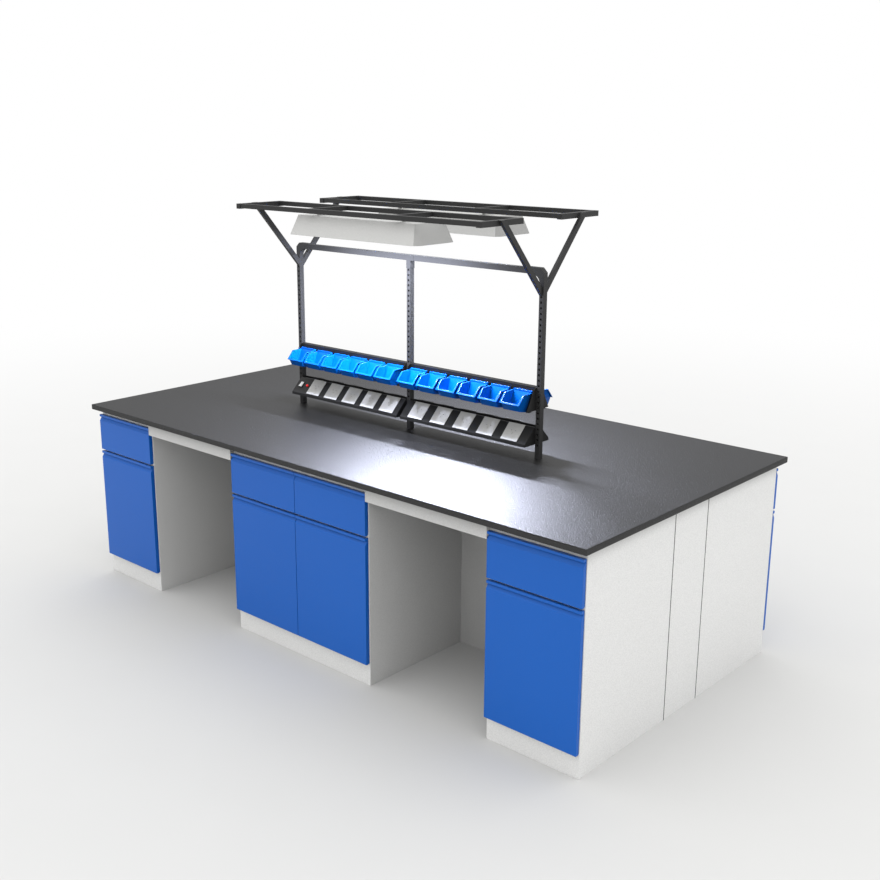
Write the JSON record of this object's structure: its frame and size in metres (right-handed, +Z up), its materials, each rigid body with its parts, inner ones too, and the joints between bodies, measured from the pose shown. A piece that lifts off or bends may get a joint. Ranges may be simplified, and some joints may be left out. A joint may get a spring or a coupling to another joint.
{
  "type": "lab_bench_with_rack",
  "caption": "Double-sided laboratory bench with blue drawers and doors, dark worktop, and a rack with hanging bins, sloped sockets and two lamps",
  "frame": {"origin": "on the floor under the middle of the bench", "axes": "X along the bench, the front row faces -Y, +Z up"},
  "size_m": [3, 1.5, 1.915],
  "materials": {
    "phenolic_top": "fine texture, low sheen",
    "white_steel": "powder coated, fine grain",
    "blue_steel": "powder coated, satin",
    "zinc_steel": "zinc plated",
    "black_steel": "powder coated, satin",
    "lamp_grey": "powder coated, matt",
    "lamp_opal": "opal",
    "trunking_black": "fine matt",
    "socket_plate": "brushed",
    "red_lens": "clear red",
    "switch_white": "gloss",
    "bin_blue": "moulded, satin"
  },
  "bodies": {
    "bench": {"worktop": "phenolic_top", "front_cabinet_shells": "white_steel", "back_cabinet_shells": "white_steel", "cabinet_shelves": "white_steel", "drawer_runner_channels": "zinc_steel", "door_hinge_arms": "zinc_steel", "knee_space_panels": "white_steel", "void_end_covers": "white_steel", "rack_uprights": "black_steel", "rack_top_beam": "black_steel", "lamp_arms": "black_steel", "ladder_frames": "black_steel", "lamp_housings": "lamp_grey", "lamp_diffusers": "lamp_opal", "bin_rails": "black_steel", "socket_trunkings": "trunking_black", "socket_plates": "socket_plate", "pilot_lamps": "red_lens"},
    "front_left_drawer_body": {"front_left_drawer": "blue_steel"},
    "front_left_door_body": {"front_left_door": "blue_steel"},
    "front_middle_left_drawer_body": {"front_middle_left_drawer": "blue_steel"},
    "front_middle_left_door_body": {"front_middle_left_door": "blue_steel"},
    "front_middle_right_drawer_body": {"front_middle_right_drawer": "blue_steel"},
    "front_middle_right_door_body": {"front_middle_right_door": "blue_steel"},
    "front_right_drawer_body": {"front_right_drawer": "blue_steel"},
    "front_right_door_body": {"front_right_door": "blue_steel"},
    "front_bin_01_body": {"front_bin_01": "bin_blue"},
    "front_bin_02_body": {"front_bin_02": "bin_blue"},
    "front_bin_03_body": {"front_bin_03": "bin_blue"},
    "front_bin_04_body": {"front_bin_04": "bin_blue"},
    "front_bin_05_body": {"front_bin_05": "bin_blue"},
    "front_bin_06_body": {"front_bin_06": "bin_blue"},
    "front_bin_07_body": {"front_bin_07": "bin_blue"},
    "front_bin_08_body": {"front_bin_08": "bin_blue"},
    "front_bin_09_body": {"front_bin_09": "bin_blue"},
    "front_bin_10_body": {"front_bin_10": "bin_blue"},
    "front_bin_11_body": {"front_bin_11": "bin_blue"},
    "front_bin_12_body": {"front_bin_12": "bin_blue"},
    "front_rocker_switch_body": {"front_rocker_switch": "switch_white"},
    "back_left_drawer_body": {"back_left_drawer": "blue_steel"},
    "back_left_door_body": {"back_left_door": "blue_steel"},
    "back_middle_left_drawer_body": {"back_middle_left_drawer": "blue_steel"},
    "back_middle_left_door_body": {"back_middle_left_door": "blue_steel"},
    "back_middle_right_drawer_body": {"back_middle_right_drawer": "blue_steel"},
    "back_middle_right_door_body": {"back_middle_right_door": "blue_steel"},
    "back_right_drawer_body": {"back_right_drawer": "blue_steel"},
    "back_right_door_body": {"back_right_door": "blue_steel"},
    "back_bin_01_body": {"back_bin_01": "bin_blue"},
    "back_bin_02_body": {"back_bin_02": "bin_blue"},
    "back_bin_03_body": {"back_bin_03": "bin_blue"},
    "back_bin_04_body": {"back_bin_04": "bin_blue"},
    "back_bin_05_body": {"back_bin_05": "bin_blue"},
    "back_bin_06_body": {"back_bin_06": "bin_blue"},
    "back_bin_07_body": {"back_bin_07": "bin_blue"},
    "back_bin_08_body": {"back_bin_08": "bin_blue"},
    "back_bin_09_body": {"back_bin_09": "bin_blue"},
    "back_bin_10_body": {"back_bin_10": "bin_blue"},
    "back_bin_11_body": {"back_bin_11": "bin_blue"},
    "back_bin_12_body": {"back_bin_12": "bin_blue"},
    "back_rocker_switch_body": {"back_rocker_switch": "switch_white"}
  },
  "joints": [
    {"name": "front_left_drawer_slide", "type": "slide", "parent": "bench", "child": "front_left_drawer_body", "axis": [0, -1, 0], "range_m": [0, 0.375]},
    {"name": "front_left_door_hinge", "type": "hinge", "parent": "bench", "child": "front_left_door_body", "pos_m": [-1.475, -0.705, 0.3785], "axis": [0, 0, -1], "range_deg": [0, 110]},
    {"name": "front_middle_left_drawer_slide", "type": "slide", "parent": "bench", "child": "front_middle_left_drawer_body", "axis": [0, -1, 0], "range_m": [0, 0.375]},
    {"name": "front_middle_left_door_hinge", "type": "hinge", "parent": "bench", "child": "front_middle_left_door_body", "pos_m": [-0.425, -0.705, 0.3785], "axis": [0, 0, -1], "range_deg": [0, 110]},
    {"name": "front_middle_right_drawer_slide", "type": "slide", "parent": "bench", "child": "front_middle_right_drawer_body", "axis": [0, -1, 0], "range_m": [0, 0.375]},
    {"name": "front_middle_right_door_hinge", "type": "hinge", "parent": "bench", "child": "front_middle_right_door_body", "pos_m": [0.425, -0.705, 0.3785], "axis": [0, 0, 1], "range_deg": [0, 110]},
    {"name": "front_right_drawer_slide", "type": "slide", "parent": "bench", "child": "front_right_drawer_body", "axis": [0, -1, 0], "range_m": [0, 0.375]},
    {"name": "front_right_door_hinge", "type": "hinge", "parent": "bench", "child": "front_right_door_body", "pos_m": [1.475, -0.705, 0.3785], "axis": [0, 0, 1], "range_deg": [0, 110]},
    {"name": "front_bin_01_lift", "type": "slide", "parent": "bench", "child": "front_bin_01_body", "axis": [0, 0, 1], "range_m": [0, 0.1]},
    {"name": "front_bin_02_lift", "type": "slide", "parent": "bench", "child": "front_bin_02_body", "axis": [0, 0, 1], "range_m": [0, 0.1]},
    {"name": "front_bin_03_lift", "type": "slide", "parent": "bench", "child": "front_bin_03_body", "axis": [0, 0, 1], "range_m": [0, 0.1]},
    {"name": "front_bin_04_lift", "type": "slide", "parent": "bench", "child": "front_bin_04_body", "axis": [0, 0, 1], "range_m": [0, 0.1]},
    {"name": "front_bin_05_lift", "type": "slide", "parent": "bench", "child": "front_bin_05_body", "axis": [0, 0, 1], "range_m": [0, 0.1]},
    {"name": "front_bin_06_lift", "type": "slide", "parent": "bench", "child": "front_bin_06_body", "axis": [0, 0, 1], "range_m": [0, 0.1]},
    {"name": "front_bin_07_lift", "type": "slide", "parent": "bench", "child": "front_bin_07_body", "axis": [0, 0, 1], "range_m": [0, 0.1]},
    {"name": "front_bin_08_lift", "type": "slide", "parent": "bench", "child": "front_bin_08_body", "axis": [0, 0, 1], "range_m": [0, 0.1]},
    {"name": "front_bin_09_lift", "type": "slide", "parent": "bench", "child": "front_bin_09_body", "axis": [0, 0, 1], "range_m": [0, 0.1]},
    {"name": "front_bin_10_lift", "type": "slide", "parent": "bench", "child": "front_bin_10_body", "axis": [0, 0, 1], "range_m": [0, 0.1]},
    {"name": "front_bin_11_lift", "type": "slide", "parent": "bench", "child": "front_bin_11_body", "axis": [0, 0, 1], "range_m": [0, 0.1]},
    {"name": "front_bin_12_lift", "type": "slide", "parent": "bench", "child": "front_bin_12_body", "axis": [0, 0, 1], "range_m": [0, 0.1]},
    {"name": "front_rocker_tilt", "type": "hinge", "parent": "bench", "child": "front_rocker_switch_body", "pos_m": [-0.694, -0.05075, 1.01115], "axis": [1, 0, 0], "range_deg": [0, 12]},
    {"name": "back_left_drawer_slide", "type": "slide", "parent": "bench", "child": "back_left_drawer_body", "axis": [0, 1, 0], "range_m": [0, 0.375]},
    {"name": "back_left_door_hinge", "type": "hinge", "parent": "bench", "child": "back_left_door_body", "pos_m": [1.475, 0.705, 0.3785], "axis": [0, 0, -1], "range_deg": [0, 110]},
    {"name": "back_middle_left_drawer_slide", "type": "slide", "parent": "bench", "child": "back_middle_left_drawer_body", "axis": [0, 1, 0], "range_m": [0, 0.375]},
    {"name": "back_middle_left_door_hinge", "type": "hinge", "parent": "bench", "child": "back_middle_left_door_body", "pos_m": [0.425, 0.705, 0.3785], "axis": [0, 0, -1], "range_deg": [0, 110]},
    {"name": "back_middle_right_drawer_slide", "type": "slide", "parent": "bench", "child": "back_middle_right_drawer_body", "axis": [0, 1, 0], "range_m": [0, 0.375]},
    {"name": "back_middle_right_door_hinge", "type": "hinge", "parent": "bench", "child": "back_middle_right_door_body", "pos_m": [-0.425, 0.705, 0.3785], "axis": [0, 0, 1], "range_deg": [0, 110]},
    {"name": "back_right_drawer_slide", "type": "slide", "parent": "bench", "child": "back_right_drawer_body", "axis": [0, 1, 0], "range_m": [0, 0.375]},
    {"name": "back_right_door_hinge", "type": "hinge", "parent": "bench", "child": "back_right_door_body", "pos_m": [-1.475, 0.705, 0.3785], "axis": [0, 0, 1], "range_deg": [0, 110]},
    {"name": "back_bin_01_lift", "type": "slide", "parent": "bench", "child": "back_bin_01_body", "axis": [0, 0, 1], "range_m": [0, 0.1]},
    {"name": "back_bin_02_lift", "type": "slide", "parent": "bench", "child": "back_bin_02_body", "axis": [0, 0, 1], "range_m": [0, 0.1]},
    {"name": "back_bin_03_lift", "type": "slide", "parent": "bench", "child": "back_bin_03_body", "axis": [0, 0, 1], "range_m": [0, 0.1]},
    {"name": "back_bin_04_lift", "type": "slide", "parent": "bench", "child": "back_bin_04_body", "axis": [0, 0, 1], "range_m": [0, 0.1]},
    {"name": "back_bin_05_lift", "type": "slide", "parent": "bench", "child": "back_bin_05_body", "axis": [0, 0, 1], "range_m": [0, 0.1]},
    {"name": "back_bin_06_lift", "type": "slide", "parent": "bench", "child": "back_bin_06_body", "axis": [0, 0, 1], "range_m": [0, 0.1]},
    {"name": "back_bin_07_lift", "type": "slide", "parent": "bench", "child": "back_bin_07_body", "axis": [0, 0, 1], "range_m": [0, 0.1]},
    {"name": "back_bin_08_lift", "type": "slide", "parent": "bench", "child": "back_bin_08_body", "axis": [0, 0, 1], "range_m": [0, 0.1]},
    {"name": "back_bin_09_lift", "type": "slide", "parent": "bench", "child": "back_bin_09_body", "axis": [0, 0, 1], "range_m": [0, 0.1]},
    {"name": "back_bin_10_lift", "type": "slide", "parent": "bench", "child": "back_bin_10_body", "axis": [0, 0, 1], "range_m": [0, 0.1]},
    {"name": "back_bin_11_lift", "type": "slide", "parent": "bench", "child": "back_bin_11_body", "axis": [0, 0, 1], "range_m": [0, 0.1]},
    {"name": "back_bin_12_lift", "type": "slide", "parent": "bench", "child": "back_bin_12_body", "axis": [0, 0, 1], "range_m": [0, 0.1]},
    {"name": "back_rocker_tilt", "type": "hinge", "parent": "bench", "child": "back_rocker_switch_body", "pos_m": [0.694, 0.05075, 1.01115], "axis": [-1, 0, 0], "range_deg": [0, 12]}
  ]
}
